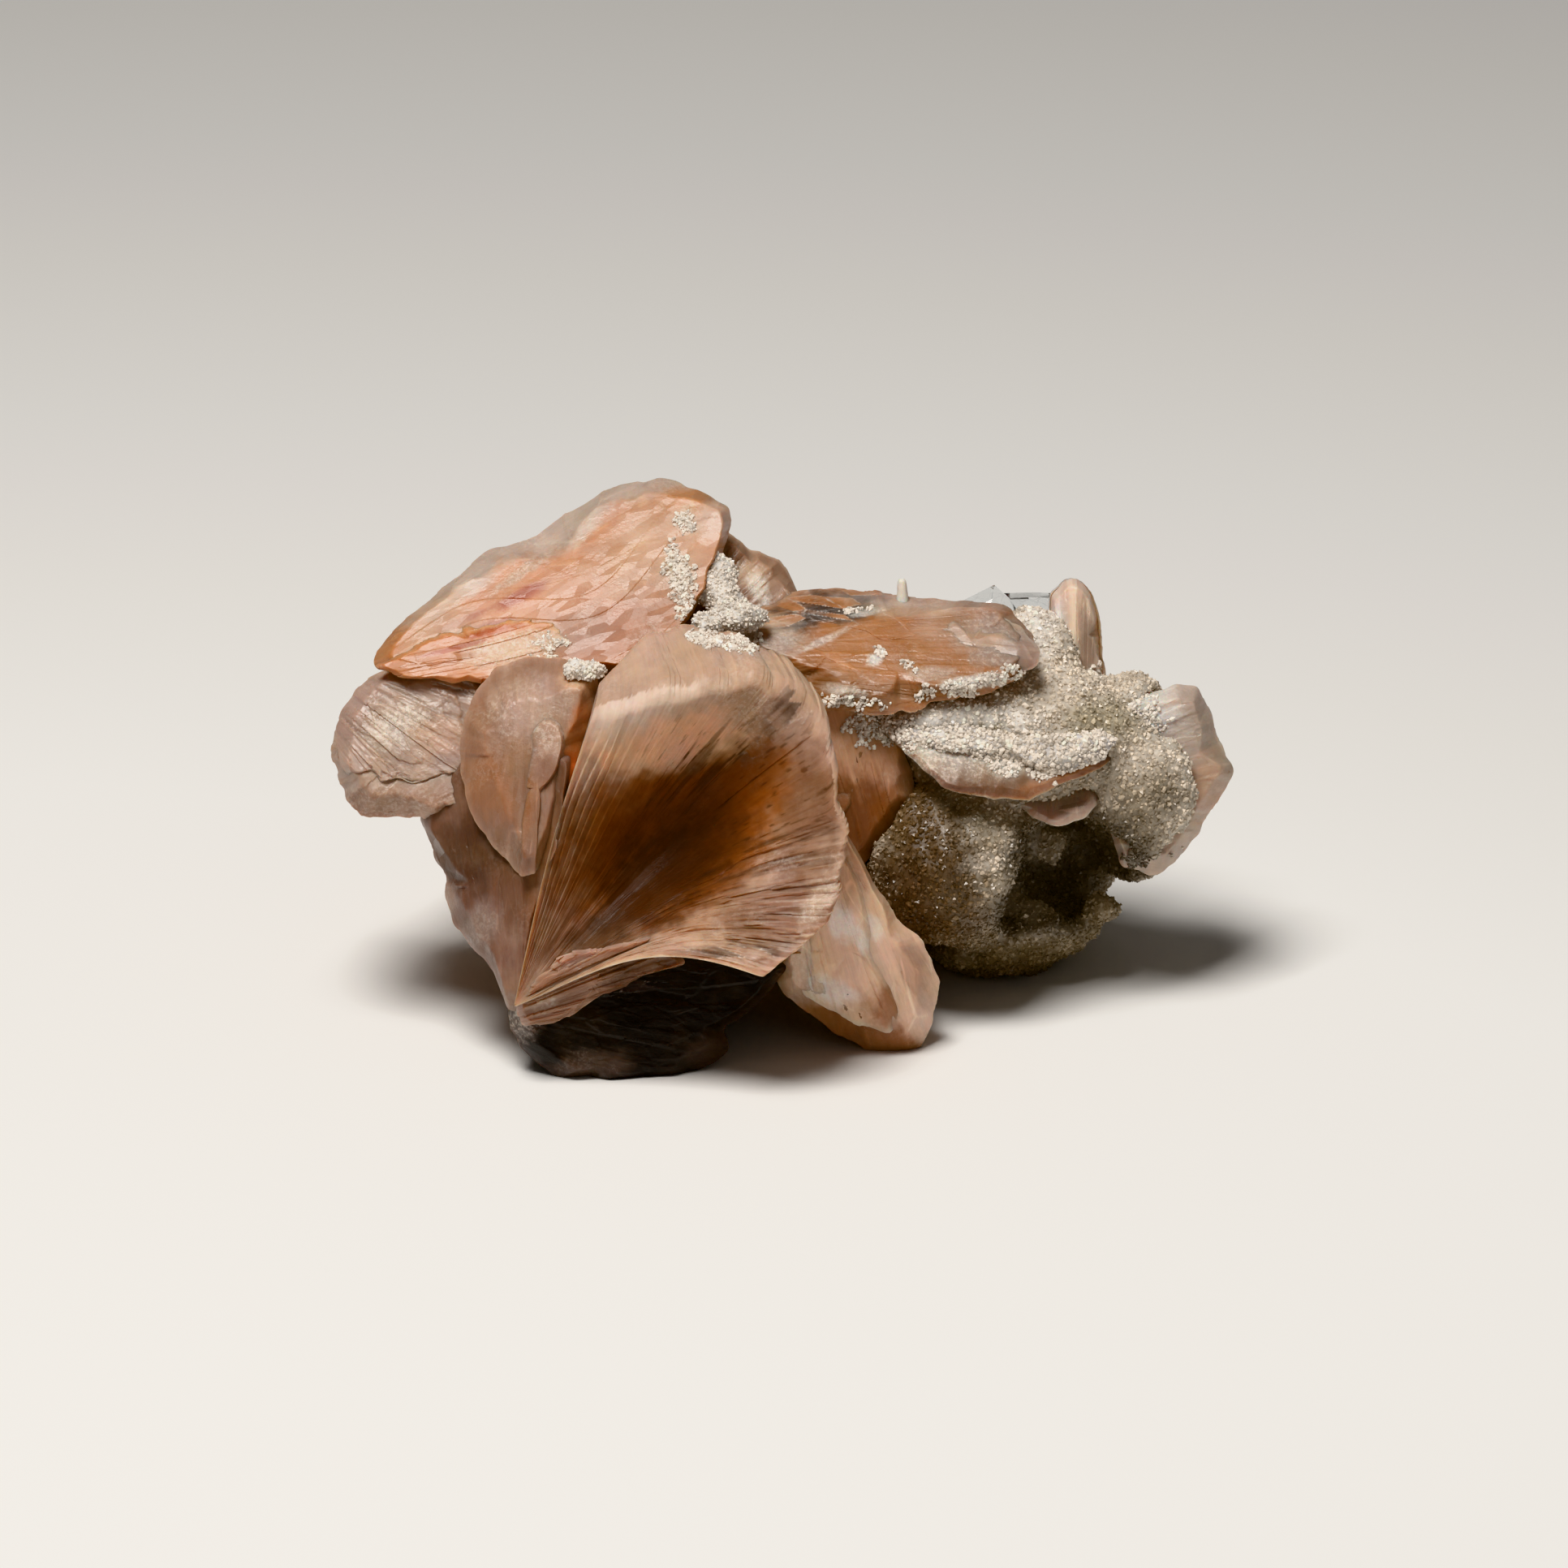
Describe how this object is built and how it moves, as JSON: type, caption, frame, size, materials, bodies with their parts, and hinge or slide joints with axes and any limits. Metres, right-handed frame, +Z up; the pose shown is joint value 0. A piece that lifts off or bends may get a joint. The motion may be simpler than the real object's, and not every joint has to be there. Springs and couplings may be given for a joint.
{
  "type": "stilbite cluster",
  "caption": "Hand-sized mineral specimen: peach stilbite sheaves grown together round a hollow fan, with a crust of sugary quartz; a display piece that rests on its own feet.",
  "frame": {"origin": "middle of the bounding box at the height of the feet it rests on", "axes": "+X across the specimen as the picture shows it, +Y away from its facing side, +Z up"},
  "size_m": [0.0896, 0.0622, 0.0509],
  "materials": {
    "peach_stilbite": "pearly, translucent",
    "pale_stilbite": "pearly, translucent",
    "grey_quartz": "sugary, translucent",
    "white_quartz": "sugary, translucent",
    "clear_apophyllite": "clear, glossy"
  },
  "bodies": {
    "root": {"stilbite_sheaves": "peach_stilbite", "right_sheaf": "pale_stilbite", "upright_blade": "pale_stilbite", "ledge_blade": "pale_stilbite", "shelf_blade": "pale_stilbite", "clear_crystal": "clear_apophyllite", "clear_block": "clear_apophyllite", "quartz_crust": "grey_quartz", "upper_quartz_patch": "white_quartz", "petal_quartz_patch": "white_quartz"}
  },
  "joints": []
}
